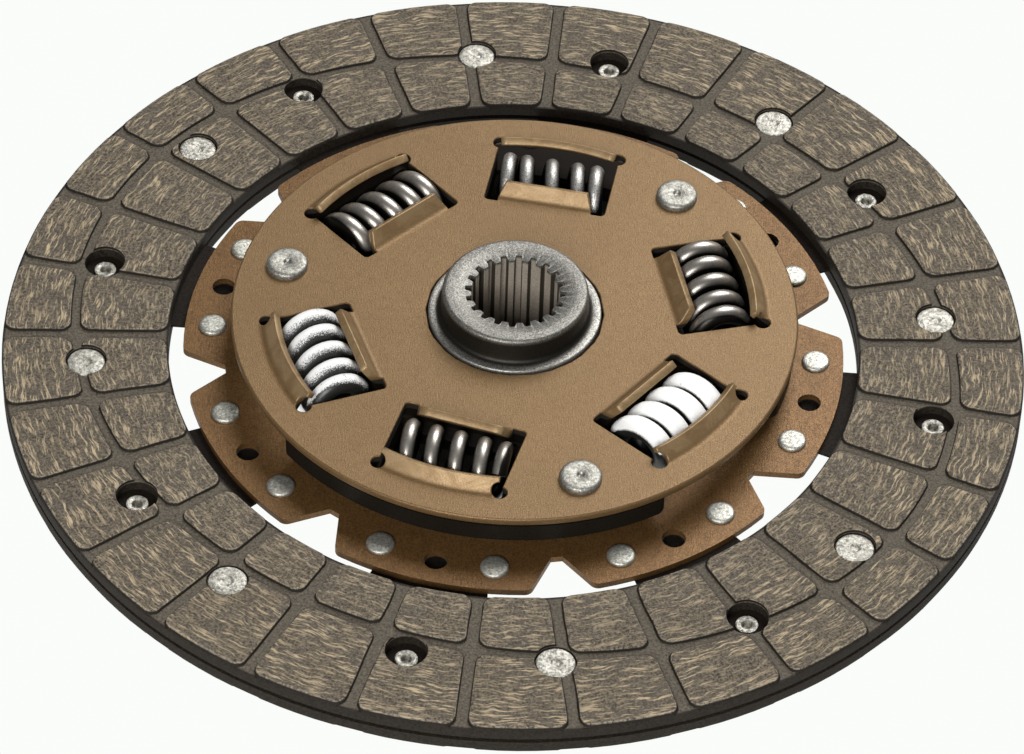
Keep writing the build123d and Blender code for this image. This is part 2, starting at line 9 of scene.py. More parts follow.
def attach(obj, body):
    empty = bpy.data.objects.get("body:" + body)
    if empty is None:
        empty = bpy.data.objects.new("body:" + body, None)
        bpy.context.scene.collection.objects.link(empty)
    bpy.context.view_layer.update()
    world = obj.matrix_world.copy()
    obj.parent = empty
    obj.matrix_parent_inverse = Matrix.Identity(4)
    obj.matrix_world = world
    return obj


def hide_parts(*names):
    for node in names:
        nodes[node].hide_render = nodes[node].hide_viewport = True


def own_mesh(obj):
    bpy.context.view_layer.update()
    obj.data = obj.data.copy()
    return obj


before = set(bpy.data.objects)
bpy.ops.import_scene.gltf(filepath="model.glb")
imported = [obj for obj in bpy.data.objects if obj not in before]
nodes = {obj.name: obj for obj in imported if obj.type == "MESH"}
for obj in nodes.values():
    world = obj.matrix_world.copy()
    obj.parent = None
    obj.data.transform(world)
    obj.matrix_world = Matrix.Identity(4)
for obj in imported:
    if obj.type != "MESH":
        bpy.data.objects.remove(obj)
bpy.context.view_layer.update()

# The looks of a clutch disc: moulded friction facings with rounded tiles, round-wire springs,
# flat-headed rivets, dimpled pins, a pressed side plate with bent lips, and a speckled hub.
# Lengths are millimetres, turned to metres by MM. The floor, lights and camera are in metres.

MM = 0.001

# Friction facings
facing_outer_radius = 110.0
facing_inner_radius = 74.4
facing_thickness = 3.3
rear_face_level = 0.0
front_face_level = 7.6
groove_count = 30
groove_start_angle = 1.85
groove_half_width = 1.15
groove_depth = 0.9
middle_groove_half_width = 0.9
middle_groove_radii = (97.3, 87.4)
middle_groove_angle = 150.0
tile_corner_radius = 2.6
tile_side_round = 0.55
tile_rim_round = 1.15

# Facing rivets
rivet_circle_radius = 92.0
rivet_count = 8
front_rivet_angle = 6.7
rear_rivet_angle = 32.7
rivet_hole_radius = 4.4
rivet_seat_depth = 2.1
rivet_shank_radius = 2.4

# Side plate, springs and pins
window_angles = [13.56, 80.36, 133.56, 200.36, 253.56, 320.36]
spring_circle_radius = 42.9
spring_level = 11.0
spring_radius = 7.4
spring_half_length = 13.3
pin_circle_radius = 50.8
pin_angles = [46.96, 166.96, 286.96]
plate_top = 15.6
plate_radius = 60.8
plate_bore_radius = 19.1
carrier_top = 5.6
segment_base = 3.5

# Lobes of the carrier plate, their rivets, and the centre of the painted shade on the plate's middle
lobe_count = 8
lobe_angle = 32.13
lobe_rivet_spread = 10.8
segment_rivet_radius = 65.2
segment_rivet_angles = [
    lobe_angle + 360 / lobe_count * n + side * lobe_rivet_spread
    for n in range(lobe_count)
    for side in (-1, 1)
]
shade_centre_y = 5.5

# Hub
hub_top = 22.1
hub_foot_level = 0.9
hub_foot_radius = 11.4
collar_radius = 18.6
collar_level = 16.1
spline_root_radius = 10.8
spline_tip_radius = 9.4
spline_count = 20
spline_angle = 15.4

# Points of a mesh that are closer than this are joined
weld_distance = 0.002


# ---- Meshes ----
def new_piece(name, vertices, faces, body, smooth_below=35, marks=()):
    """A mesh piece from points in millimetres, smooth except over edges sharper than an angle.

    Each mark is a name, and a number for each point that a material can read.
    """
    mesh = bpy.data.meshes.new(name)
    mesh.from_pydata([Vector(v) * MM for v in vertices], [], faces)
    for mark, values in marks:
        mesh.attributes.new(mark, "FLOAT", "POINT").data.foreach_set("value", values)
    piece = add_object(name, mesh)
    tidy_mesh(mesh, smooth_below)
    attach(piece, body)
    return piece


def add_object(name, data):
    """A new object in the scene, from its mesh, lamp or camera."""
    made = bpy.data.objects.new(name, data)
    bpy.context.scene.collection.objects.link(made)
    return made


def tidy_mesh(mesh, smooth_below):
    """Joins doubled points, turns the faces outward and marks the sharp edges."""
    work = bmesh.new()
    work.from_mesh(mesh)
    bmesh.ops.remove_doubles(work, verts=work.verts, dist=weld_distance * MM)
    bmesh.ops.recalc_face_normals(work, faces=work.faces)
    for face in work.faces:
        face.smooth = True
    for edge in work.edges:
        within = edge.calc_face_angle(0) < radians(smooth_below)
        edge.smooth = len(edge.link_faces) == 2 and within
    work.to_mesh(mesh)
    work.free()


def lathe(profile, steps, centre=(0, 0), start_index=0):
    """Points and faces of a closed turned body whose profile starts and ends on its axis."""
    vertices, faces = [], []
    for radius, level in profile:
        for step in range(steps):
            angle = 2 * pi * step / steps
            x, y = centre[0] + radius * cos(angle), centre[1] + radius * sin(angle)
            vertices.append((x, y, level))
    for row in range(len(profile) - 1):
        for step in range(steps):
            following = (step + 1) % steps
            low, high = row * steps, (row + 1) * steps
            corners = (low + step, low + following, high + following, high + step)
            faces.append([start_index + corner for corner in corners])
    return vertices, faces


def turned_set(name, profile, places, body, steps=40):
    """One piece with the same turned body at each place."""
    vertices, faces = [], []
    for place in places:
        more_vertices, more_faces = lathe(profile, steps, place, len(vertices))
        vertices += more_vertices
        faces += more_faces
    return new_piece(name, vertices, faces, body)


def on_circle(radius, angles):
    """The points at some angles of a circle round the disc's axis."""
    return [(radius * cos(radians(a)), radius * sin(radians(a))) for a in angles]


def every(count, start):
    """So many evenly spaced angles, from a first one."""
    return [start + 360 / count * n for n in range(count)]


# ---- Materials ----
class Shader:
    """A material's node tree with short calls for the nodes used here."""

    def __init__(self, name):
        self.material = bpy.data.materials.new(name)
        self.material.use_nodes = True
        self.tree = self.material.node_tree
        self.surface = self.tree.nodes["Principled BSDF"]
        self.place = self.add("ShaderNodeTexCoord").outputs["Object"]

    def add(self, kind, **settings):
        node = self.tree.nodes.new(kind)
        for key, value in settings.items():
            setattr(node, key, value)
        return node

    def link(self, source, target):
        self.tree.links.new(source, target)

    def feed(self, socket, value):
        if isinstance(value, bpy.types.NodeSocket):
            self.link(value, socket)
        else:
            socket.default_value = value

    def math(self, operation, first, second=0.0, clamp=False):
        node = self.add("ShaderNodeMath", operation=operation, use_clamp=clamp)
        self.feed(node.inputs[0], first)
        self.feed(node.inputs[1], second)
        return node.outputs[0]

    def noise(self, vector, size, detail=3.0, roughness=0.5, distortion=0.0):
        """Noise whose features are about a size in millimetres."""
        node = self.add("ShaderNodeTexNoise")
        self.feed(node.inputs["Vector"], vector)
        node.inputs["Scale"].default_value = 1 / (size * MM)
        node.inputs["Detail"].default_value = detail
        node.inputs["Roughness"].default_value = roughness
        node.inputs["Distortion"].default_value = distortion
        return node.outputs["Fac"]

    def ramp(self, value, low, high, first=0.0, last=1.0):
        """The value stretched from low..high to first..last."""
        node = self.add("ShaderNodeMapRange")
        self.feed(node.inputs["Value"], value)
        node.inputs["From Min"].default_value = low
        node.inputs["From Max"].default_value = high
        node.inputs["To Min"].default_value = first
        node.inputs["To Max"].default_value = last
        return node.outputs["Result"]

    def span(self, length, low, high, first=0.0, last=1.0):
        """The same for a length, with low and high in millimetres."""
        return self.ramp(length, low * MM, high * MM, first, last)

    def mix(self, share, first, second):
        node = self.add("ShaderNodeMix", data_type="RGBA")
        self.feed(node.inputs[0], share)
        self.feed(node.inputs[6], colour(first))
        self.feed(node.inputs[7], colour(second))
        return node.outputs[2]

    def polar(self, centre_y=0.0):
        """The point's x, y and z, and its distance from an upright line at (0, centre_y)."""
        parts = self.add("ShaderNodeSeparateXYZ")
        self.link(self.place, parts.inputs[0])
        x, y, z = parts.outputs
        up = self.math("SUBTRACT", y, centre_y * MM)
        squares = self.math("ADD", self.math("MULTIPLY", x, x), self.math("MULTIPLY", up, up))
        return x, y, z, self.math("SQRT", squares)

    def mark(self, name):
        """A number that the mesh holds for each of its points."""
        return self.add("ShaderNodeAttribute", attribute_name=name).outputs["Fac"]

    def finish(self, base, roughness, metallic=0.0, heights=(), specular=0.5):
        self.feed(self.surface.inputs["Base Color"], colour(base))
        self.feed(self.surface.inputs["Roughness"], roughness)
        self.feed(self.surface.inputs["Metallic"], metallic)
        self.surface.inputs["Specular IOR Level"].default_value = specular
        normal = None
        for height, distance in heights:
            bump = self.add("ShaderNodeBump")
            bump.inputs["Distance"].default_value = distance * MM
            self.feed(bump.inputs["Height"], height)
            if normal:
                self.link(normal, bump.inputs["Normal"])
            normal = bump.outputs["Normal"]
        if normal:
            self.link(normal, self.surface.inputs["Normal"])
        return self.material


def colour(value):
    """A colour of three numbers with its alpha added; anything else as it is."""
    return (*value, 1.0) if isinstance(value, tuple) and len(value) == 3 else value


def friction_lining(face_level, inward):
    """Moulded friction lining, with short tan fibres round its tiles and near-black rims.

    face_level is its rubbing face's, and inward, 1 or -1, is the way that the lining lies from it.
    """
    s = Shader("friction_lining")
    x, y, z, radius = s.polar()
    wave = s.noise(s.place, 7.0, 2.0)
    wavy = s.math("ADD", radius, s.ramp(wave, 0.3, 0.7, -0.6 * MM, 0.6 * MM))

    def around(length):
        """The point on a drum, where noise is so many times as long round the axis as wide."""
        node = s.add("ShaderNodeCombineXYZ")
        drum = rivet_circle_radius * MM / length
        s.link(s.math("MULTIPLY", s.math("DIVIDE", x, radius), drum), node.inputs[0])
        s.link(s.math("MULTIPLY", s.math("DIVIDE", y, radius), drum), node.inputs[1])
        s.link(wavy, node.inputs[2])
        return node.outputs[0]

    bundles = s.noise(around(7.5), 0.58, 3.0, 0.6)
    threads = s.noise(around(8.0), 0.26, 2.0, 0.6)
    patches = s.noise(s.place, 8.0, 2.0)
    flecks = s.noise(s.place, 0.55, 4.0, 0.75)
    crumbs = s.noise(s.place, 0.9, 3.0, 0.7)
    outward = s.span(radius, 80, 94)
    in_bundle, in_thread = s.ramp(bundles, 0.50, 0.61), s.ramp(threads, 0.38, 0.54)
    streak = s.math("MULTIPLY", in_bundle, in_thread, clamp=True)
    streak = s.math("MULTIPLY", streak, s.ramp(patches, 0.30, 0.60, 0.35, 1.0))
    streak = s.math("MULTIPLY", streak, s.ramp(outward, 0.0, 1.0, 0.6, 0.95))
    crumb = s.math("MULTIPLY", s.ramp(crumbs, 0.56, 0.66), s.ramp(outward, 0.0, 1.0, 0.55, 0.25))
    depth = s.math("MULTIPLY", s.math("SUBTRACT", z, face_level * MM), float(inward))
    top = s.span(depth, 0.12, 0.35, 1.0, 0.0)
    edge_wear_and_highlight = s.math("MULTIPLY", s.span(depth, 0.07, 0.12), s.span(depth, 0.18, 0.34, 1.0, 0.0))
    outer_rim = s.span(radius, facing_outer_radius - 0.7, facing_outer_radius - 0.3)
    inner_rim = s.span(radius, facing_inner_radius + 0.7, facing_inner_radius + 0.3)
    rim = s.math("MULTIPLY", s.math("MAXIMUM", outer_rim, inner_rim), s.span(depth, 0.35, 0.7))
    side = s.math("MAXIMUM", rim, s.span(depth, groove_depth + 0.15, groove_depth + 0.35))
    ground = s.mix(s.ramp(flecks, 0.37, 0.64), (0.020, 0.016, 0.011), (0.182, 0.149, 0.108))
    ground = s.mix(s.ramp(patches, 0.35, 0.7, 0.0, 0.45), ground, (0.078, 0.068, 0.056))
    face = s.mix(crumb, ground, (0.330, 0.275, 0.200))
    face = s.mix(streak, face, (0.460, 0.365, 0.232))
    groove = s.mix(s.ramp(flecks, 0.3, 0.7), (0.022, 0.018, 0.013), (0.155, 0.131, 0.099))
    # Painted shade: the grooves' walls are darkened
    foot = s.math("MULTIPLY", s.span(depth, 0.18, 0.34), s.span(depth, 0.89, 0.84))
    groove = s.mix(foot, groove, (0.014, 0.011, 0.008))
    base = s.mix(top, groove, face)
    # A paler band along the tiles' top edges: wear and painted highlight
    worn = s.math("MULTIPLY", edge_wear_and_highlight, s.ramp(flecks, 0.42, 0.62, 0.0, 0.6))
    base = s.mix(worn, base, (0.42, 0.37, 0.29))
    black = s.mix(s.ramp(flecks, 0.35, 0.65), (0.004, 0.003, 0.002), (0.030, 0.023, 0.016))
    base = s.mix(side, base, black)
    heights = [
        (s.math("MULTIPLY", s.math("ADD", bundles, threads), top), 0.10),
        (flecks, 0.10),
    ]
    return s.finish(base, s.ramp(flecks, 0.3, 0.7, 0.60, 0.85), heights=heights, specular=0.2)


def phosphate(name, dark, light, roughness, light_and_shade):
    """Phosphate on pressed steel, with a fine even grain and faint rolling lines.

    The last argument gives the colour with any painted highlight, and how much painted shade lies on each
    point.
    """
    s = Shader(name)
    stretched = s.add("ShaderNodeMapping")
    stretched.inputs["Scale"].default_value = (1.0, 0.12, 1.0)
    stretched.inputs["Rotation"].default_value = (0.0, 0.0, radians(24))
    s.link(s.place, stretched.inputs["Vector"])
    lines = s.noise(stretched.outputs[0], 0.22, 2.0, 0.6)
    grain = s.noise(s.place, 0.34, 4.0, 0.7)
    mottle = s.noise(s.place, 1.6, 4.0, 0.6)
    cloud = s.noise(s.place, 20.0, 2.0)
    base = s.mix(s.ramp(grain, 0.30, 0.70), dark, light)
    base = s.mix(s.ramp(lines, 0.40, 0.66, 0.0, 0.35), base, light)
    base = s.mix(s.ramp(mottle, 0.45, 0.70, 0.0, 0.30), base, dark)
    base = s.mix(s.ramp(cloud, 0.35, 0.70, 0.0, 0.18), base, dark)
    rough = s.ramp(grain, 0.3, 0.7, roughness + 0.06, roughness - 0.06)
    # Painted shade: the colour turns near-black, rough and not metallic where the mask lies
    base, painted_shade = light_and_shade(s, base)
    base = s.mix(painted_shade, base, (0.006, 0.0045, 0.003))
    rough = s.math("MAXIMUM", rough, painted_shade)
    metallic = s.ramp(painted_shade, 0.0, 0.9, 0.45, 0.0)
    return s.finish(base, rough, metallic, [(grain, 0.045), (lines, 0.03)], specular=0.3)


def lip_sheen_edge_shade(s, base):
    """Lips painted paler as a highlight, with brown patches; cut edges and underside painted near-black as
    shade.
    """
    _, _, z, radius = s.polar()
    lip = s.span(z, plate_top + 0.25, plate_top + 0.9)
    brown = s.ramp(s.noise(s.place, 6.0, 4.0, 0.7, 1.0), 0.42, 0.60, 0.0, 0.45)
    # Painted highlight: the lips are painted paler
    base = s.mix(s.math("MULTIPLY", lip, 0.50), base, (0.40, 0.285, 0.155))
    base = s.mix(s.math("MULTIPLY", lip, brown), base, (0.130, 0.068, 0.022))
    # Painted shade: the cut edges and underside, away from the rim, turn near-black
    cut = s.span(z, plate_top - 0.35, plate_top - 0.1, 0.96, 0.0)
    return base, s.math("MULTIPLY", cut, s.span(radius, plate_radius - 0.8, plate_radius - 1.4))


def shaded_middle(s, base):
    """The middle, under the side plate, is painted nearly black as shade.

    The painted shade is fixed on the plate, but its centre was set off the axis to match the photograph.
    """
    _, _, _, radius = s.polar(shade_centre_y)
    return base, s.span(radius, 57.5, 59.0, 0.97, 0.0)


def bare_steel(name, dark, light, roughness, grain_size, bump, metallic=0.9, coil=False):
    """Bare or tumbled steel with a fine speckle; a coil is painted black as shade away from its outside."""
    s = Shader(name)
    speckle = s.noise(s.place, grain_size, 5.0, 0.7)
    cloud = s.noise(s.place, 6.0, 3.0)
    base = s.mix(s.ramp(speckle, 0.36, 0.64), dark, light)
    base = s.mix(s.ramp(cloud, 0.4, 0.7, 0.0, 0.3), base, dark)
    if coil:
        # Painted shade: a coil is black between its turns, underneath and at its ends
        black = s.ramp(s.mark("outward"), 0.40, 1.0, 0.98, 0.0)
        base = s.mix(black, base, (0.006, 0.005, 0.004))
    rough = s.ramp(speckle, 0.3, 0.7, roughness + 0.06, roughness - 0.06)
    return s.finish(base, rough, metallic, [(speckle, bump)], 0.5 if metallic else 0.12)


def painted_coil(name, wear_from, wear_to, lean, edge):
    """White paint on a coil's outside, specked towards its flanks, which are painted black as shade.

    lean shifts the paint to one flank, and edge is how far outward it starts.
    """
    s = Shader(name)
    wear = s.noise(s.place, 2.6, 4.0, 0.7)
    specks = s.noise(s.place, 0.28, 3.0, 0.7)
    chips = s.ramp(specks, 0.46, 0.54)
    worn = s.math("MULTIPLY", s.ramp(wear, wear_from, wear_to), chips, clamp=True)
    white = 0.92 - 0.14 * lean
    base = s.mix(worn, (white, white, white * 0.98), (0.10, 0.10, 0.095))
    base = s.mix(s.ramp(specks, 0.3, 0.7, 0.0, 0.10), base, (0.50, 0.49, 0.47))
    reach = s.math("ADD", s.mark("outward"), s.math("MULTIPLY", s.mark("lengthwise"), lean))
    ragged = s.math("MULTIPLY", s.math("SUBTRACT", specks, 0.5), 3.0 * lean + 0.3)
    reach = s.math("ADD", reach, ragged)
    blur = 0.10 + 0.30 * lean
    # Painted shade: black on the flanks and wherever the marks paint the coil black
    base = s.mix(s.ramp(reach, edge - blur, edge + blur), (0.012, 0.012, 0.011), base)
    return s.finish(base, s.ramp(wear, 0.3, 0.7, 0.34, 0.46), heights=[(worn, -0.04), (specks, 0.03)])


def hub_steel(name, shaded):
    """Grey steel with fine specks, painted shade on its side wall and tooth flanks, painted light on its
    bore and collar rim; shaded paints the flange near-black as shade.
    """
    s = Shader(name)
    _, _, z, radius = s.polar()
    root, tip = spline_root_radius, spline_tip_radius
    # Painted shade: the side wall between collar and head is darkened
    wall_shade = s.math("MULTIPLY", s.span(radius, 15.0, 15.6), s.span(radius, 17.8, 16.6))
    wall_shade = s.math("MULTIPLY", wall_shade, s.span(z, hub_top - 0.4, hub_top - 1.4))
    below_mouth = s.span(z, hub_top - 0.7, hub_top - 1.3)
    bore = s.math("MULTIPLY", s.span(radius, root + 0.35, root + 0.2), below_mouth)
    flank = s.span(radius, tip + 0.05, tip + 0.2)
    flank = s.math("MULTIPLY", flank, s.span(radius, root - 0.08, root - 0.25))
    rim = s.span(z, collar_level - 0.7, collar_level - 0.3)
    rim = s.math("MULTIPLY", s.span(radius, 16.8, 17.4), rim)
    speckle = s.noise(s.place, 0.30, 4.0, 0.75)
    grain = s.noise(s.place, 0.9, 3.0, 0.6)
    base = s.mix(s.ramp(speckle, 0.38, 0.64), (0.065, 0.062, 0.055), (0.30, 0.290, 0.262))
    base = s.mix(s.ramp(grain, 0.5, 0.75, 0.0, 0.5), base, (0.10, 0.095, 0.085))
    base = s.mix(s.math("MULTIPLY", wall_shade, 0.94), base, (0.014, 0.012, 0.009))
    # Painted highlight on the collar's rounded rim
    rim_highlight = s.math("MULTIPLY", rim, s.ramp(speckle, 0.40, 0.60, 0.1, 0.7))
    base = s.mix(rim_highlight, base, (0.46, 0.45, 0.41))
    # Painted light on the bore's teeth, and painted shade on their flanks
    bore_light = s.mix(s.ramp(speckle, 0.4, 0.6), (0.24, 0.205, 0.165), (0.38, 0.33, 0.27))
    base = s.mix(bore, base, s.mix(flank, bore_light, (0.035, 0.028, 0.020)))
    # Painted shade: the flange under the side plate is near-black
    if shaded:
        base = s.mix(0.98, base, (0.006, 0.004, 0.002))
    rough = s.ramp(speckle, 0.3, 0.7, 0.60 if shaded else 0.52, 0.40)
    metallic = 0.0 if shaded else s.ramp(bore, 0.0, 1.0, 0.8, 0.15)
    return s.finish(base, rough, metallic, [(speckle, 0.05)], 0.08 if shaded else 0.5)


front_lining = friction_lining(front_face_level, -1)
rear_lining = friction_lining(rear_face_level, 1)
plate_finish = phosphate(
    "side_plate_phosphate", (0.112, 0.064, 0.026), (0.210, 0.131, 0.058), 0.46, lip_sheen_edge_shade
)
# The carrier's middle is painted near-black as shade from the side plate
carrier_finish = phosphate(
    "carrier_phosphate", (0.050, 0.023, 0.006), (0.195, 0.104, 0.037), 0.42, shaded_middle
)

# Each bare steel: dark and light colours, roughness, and its grain's size and height
# Cushion segments and the hidden washers are painted near-black as shade between the plates
segment_shade_finish = bare_steel(
    "segment_steel", (0.006, 0.004, 0.003), (0.016, 0.011, 0.007), 0.75, 0.6, 0.03, metallic=0.0
)
# Near-black finish for the discs that stand in for shade in the tooling holes
shade_black = bare_steel(
    "shade_black", (0.003, 0.002, 0.0015), (0.007, 0.005, 0.003), 0.85, 0.6, 0.02, metallic=0.0
)
rivet_finish = bare_steel(
    "bright_rivet", (0.26, 0.255, 0.220), (0.68, 0.67, 0.60), 0.50, 0.6, 0.10
)
pin_finish = bare_steel("pin_steel", (0.17, 0.165, 0.142), (0.44, 0.43, 0.385), 0.50, 0.6, 0.10)
sunk_rivet_finish = bare_steel(
    "sunk_rivet", (0.16, 0.15, 0.125), (0.70, 0.68, 0.61), 0.50, 0.7, 0.22
)
dark_coil = bare_steel(
    "dark_spring", (0.34, 0.315, 0.28), (0.54, 0.50, 0.45), 0.36, 0.7, 0.01, coil=True
)
grey_coil = bare_steel(
    "grey_spring", (0.16, 0.155, 0.145), (0.78, 0.76, 0.72), 0.42, 0.30, 0.07, coil=True
)
washer_finish = bare_steel(
    "friction_washer", (0.05, 0.035, 0.02), (0.12, 0.085, 0.05), 0.7, 0.5, 0.05, metallic=0.0
)
bush_finish = bare_steel(
    "bush_plastic", (0.012, 0.012, 0.012), (0.028, 0.028, 0.028), 0.5, 0.6, 0.02, metallic=0.0
)
hub_finish = hub_steel("hub_steel", shaded=False)
flange_shade_finish = hub_steel("hub_flange_steel", shaded=True)
white_coil = painted_coil("white_spring", wear_from=0.64, wear_to=0.72, lean=0.0, edge=0.25)
speckled_coil = painted_coil(
    "speckled_spring", wear_from=0.60, wear_to=0.70, lean=0.75, edge=0.38
)


def paint(piece, material):
    piece.data.materials.clear()
    piece.data.materials.append(material)


# ---- Friction facings ----
def tile_height(u, radius, middle_radius):
    """How far the lining lies below its rubbing face, u millimetres from a radial groove's
    centre."""
    side = abs(u) - groove_half_width
    outer = radius > middle_radius
    if outer:
        across = min(facing_outer_radius - radius, radius - middle_radius - middle_groove_half_width)
    else:
        across = min(radius - facing_inner_radius, middle_radius - middle_groove_half_width - radius)
    corner = tile_corner_radius
    if side < corner and across < corner:
        inside = corner - hypot(corner - side, corner - across)
    else:
        inside = min(side, across)
    if inside <= 0:
        return groove_depth
    share = max(side, 0) / (max(side, 0) + max(across, 0) + 1e-6)
    rim = min(facing_outer_radius - radius, radius - facing_inner_radius) < 3
    round_across = tile_rim_round if rim else tile_side_round
    size = tile_side_round * (1 - share) + round_across * share
    if inside >= size:
        return 0.0
    return groove_depth * (1 - sqrt(1 - (1 - inside / size) ** 2))


def middle_groove_radius(angle):
    """The oval groove's radius at an angle in radians."""
    turn = angle - radians(middle_groove_angle)
    long_radius, short_radius = middle_groove_radii
    return long_radius * short_radius / hypot(short_radius * cos(turn), long_radius * sin(turn))


# How far the lining's points lie from a radial groove's centre, from a rim and from the oval
# groove's centre: closest together where the tiles' edges are rounded
side_steps = [0, 0.6, 1.0, 1.13, 1.2, 1.3, 1.45, 1.65, 1.9, 2.25, 2.7, 3.3]
rim_steps = [0, 0.06, 0.2, 0.4, 0.65, 0.95, 1.35, 1.85, 2.5, 3.3]
middle_steps = [0, 0.45, 0.8, 0.88, 0.96, 1.1, 1.3, 1.6, 2.1, 2.7, 3.4]


def radial_rows(angle):
    """The radii at which the lining's face has points at an angle, from the inner rim outward."""
    middle = middle_groove_radius(angle)
    inner = [facing_inner_radius + step for step in rim_steps]
    groove = [middle - step for step in middle_steps[::-1]]
    groove += [middle + step for step in middle_steps[1:]]
    outer = [facing_outer_radius - step for step in rim_steps[::-1]]
    inner_gap = [inner[-1] + (groove[0] - inner[-1]) * share for share in (0.33, 0.67)]
    outer_gap = [groove[-1] + (outer[0] - groove[-1]) * share for share in (0.33, 0.67)]
    return inner + inner_gap + groove + outer_gap + outer


def facing_lines():
    """The lines across the ring: a groove's angle, an offset from it, or a turn past it."""
    lines = []
    for angle in every(groove_count, groove_start_angle):
        lines += [(angle, step, 0.0) for step in [-s for s in side_steps[:0:-1]] + side_steps]
        lines += [(angle, 0.0, turn) for turn in (4.0, 6.0, 8.0)]
    return lines


def facing_ring(name, face_level, inward, own_angle, other_angle, finish):
    """A moulded facing ring with raised tiles and its rivet holes."""
    vertices, faces = [], []
    back_level = face_level + inward * facing_thickness
    lines = facing_lines()
    for groove_angle, offset, turn in lines:
        middle_angle = radians(groove_angle + turn) + offset / middle_groove_radii[1]
        radii = radial_rows(middle_angle)
        strip = []
        for radius in radii:
            angle = radians(groove_angle + turn) + asin(offset / radius)
            nearer_turn = min(turn, 360 / groove_count - turn)
            from_groove = radius * sin(radians(nearer_turn)) if turn else abs(offset)
            place = Vector((radius * cos(angle), radius * sin(angle), 0))
            ragged = noise.noise(place * 0.9) * 0.10 + noise.noise(place * 0.23) * 0.12
            if from_groove > 1.05:
                from_groove += ragged
            drop = tile_height(from_groove, radius, middle_groove_radius(angle))
            drop += noise.noise(place * 0.35) * 0.03 + 0.03
            strip.append((place.x, place.y, face_level + inward * drop))
        low, high = strip[0], strip[-1]
        middle_level = (back_level + face_level) / 2 + inward * 0.3
        strip = [(low[0], low[1], back_level), (low[0], low[1], middle_level)] + strip
        strip += [(high[0], high[1], middle_level), (high[0], high[1], back_level)]
        vertices += strip
    rows = len(vertices) // len(lines)
    for line in range(len(lines)):
        following = (line + 1) % len(lines)
        for row in range(rows):
            beyond = (row + 1) % rows
            faces.append(
                (line * rows + row, line * rows + beyond, following * rows + beyond, following * rows + row)
            )
    ring = new_piece(name, vertices, faces, "disc")
    drill(ring, face_level, inward, own_angle, other_angle)
    paint(ring, finish)
    return ring


def drill(ring, face_level, inward, own_angle, other_angle):
    """Cuts the ring's rivet holes, stepped where its own rivets sit and straight for the others."""
    edge = 0.25
    stepped = [
        (0, -1.5),
        (rivet_hole_radius + edge + 0.1, -1.5),
        (rivet_hole_radius + edge, 0.0),
        (rivet_hole_radius, edge),
        (rivet_hole_radius, rivet_seat_depth),
        (rivet_shank_radius + 0.1, rivet_seat_depth),
        (rivet_shank_radius + 0.1, facing_thickness + 1),
        (0, facing_thickness + 1),
    ]
    straight = stepped[:4] + [(rivet_hole_radius, facing_thickness + 1), (0, facing_thickness + 1)]
    vertices, faces = [], []
    for profile, start in ((stepped, own_angle), (straight, other_angle)):
        levels = [(radius, face_level + inward * depth) for radius, depth in profile]
        for place in on_circle(rivet_circle_radius, every(rivet_count, start)):
            more_vertices, more_faces = lathe(levels, 40, place, len(vertices))
            vertices += more_vertices
            faces += more_faces
    cutter = new_piece("cutter", vertices, faces, "disc")
    cut = ring.modifiers.new("holes", "BOOLEAN")
    cut.operation = "DIFFERENCE"
    cut.solver = "EXACT"
    cut.object = cutter
    apply_modifiers(ring)
    bpy.data.objects.remove(cutter)
    tidy_mesh(ring.data, 42)


def apply_modifiers(piece):
    evaluated = piece.evaluated_get(bpy.context.evaluated_depsgraph_get())
    mesh = bpy.data.meshes.new_from_object(evaluated)
    piece.modifiers.clear()
    piece.data = mesh


front = facing_ring("front_lining", front_face_level, -1, front_rivet_angle, rear_rivet_angle, front_lining)
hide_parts("front_facing")
rear = facing_ring("rear_lining", rear_face_level, 1, rear_rivet_angle, front_rivet_angle, rear_lining)
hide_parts("rear_facing")


# ---- Facing rivets, segment rivets and stop pins ----
def facing_rivet_profile(seat_level, up, tail_level):
    """A sunk rivet: dimpled head on its seat, shank, and a hollow tail rolled outward."""
    head = seat_level + up * 1.2
    return [
        (0, head - up * 0.42),
        (0.75, head - up * 0.38),
        (1.15, head - up * 0.06),
        (1.5, head),
        (3.3, head - up * 0.03),
        (3.9, head - up * 0.16),
        (4.15, head - up * 0.45),
        (4.15, seat_level),
        (2.4, seat_level),
        (2.4, tail_level + up * 0.30),
        (2.36, tail_level + up * 0.12),
        (2.15, tail_level),
        (1.6, tail_level + up * 0.02),
        (1.2, tail_level + up * 0.22),
        (1.0, tail_level + up * 0.6),
        (1.0, tail_level + up * 1.4),
        (0, tail_level + up * 1.5),
    ]


front_seat = front_face_level - rivet_seat_depth
rear_seat = rear_face_level + rivet_seat_depth
front_rivets = turned_set(
    "front_rivet_heads",
    facing_rivet_profile(front_seat, 1, 2.85),
    on_circle(rivet_circle_radius, every(rivet_count, front_rivet_angle)),
    "disc",
)
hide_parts("front_facing_rivets")
rear_rivets = turned_set(
    "rear_rivet_heads",
    facing_rivet_profile(rear_seat, -1, 4.75),
    on_circle(rivet_circle_radius, every(rivet_count, rear_rivet_angle)),
    "disc",
)
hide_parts("rear_facing_rivets")

segment_rivets = turned_set(
    "lobe_rivets",
    [
        (0, carrier_top + 0.90),
        (2.1, carrier_top + 0.87),
        (2.6, carrier_top + 0.78),
        (2.9, carrier_top + 0.58),
        (3.0, carrier_top + 0.34),
        (3.0, carrier_top),
        (2.0, carrier_top),
        (2.0, segment_base),
        (2.8, segment_base),
        (2.8, segment_base - 0.5),
        (2.5, segment_base - 0.75),
        (1.2, segment_base - 0.8),
        (0, segment_base - 0.8),
    ],
    on_circle(segment_rivet_radius, segment_rivet_angles),
    "disc",
)
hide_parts("segment_rivets")

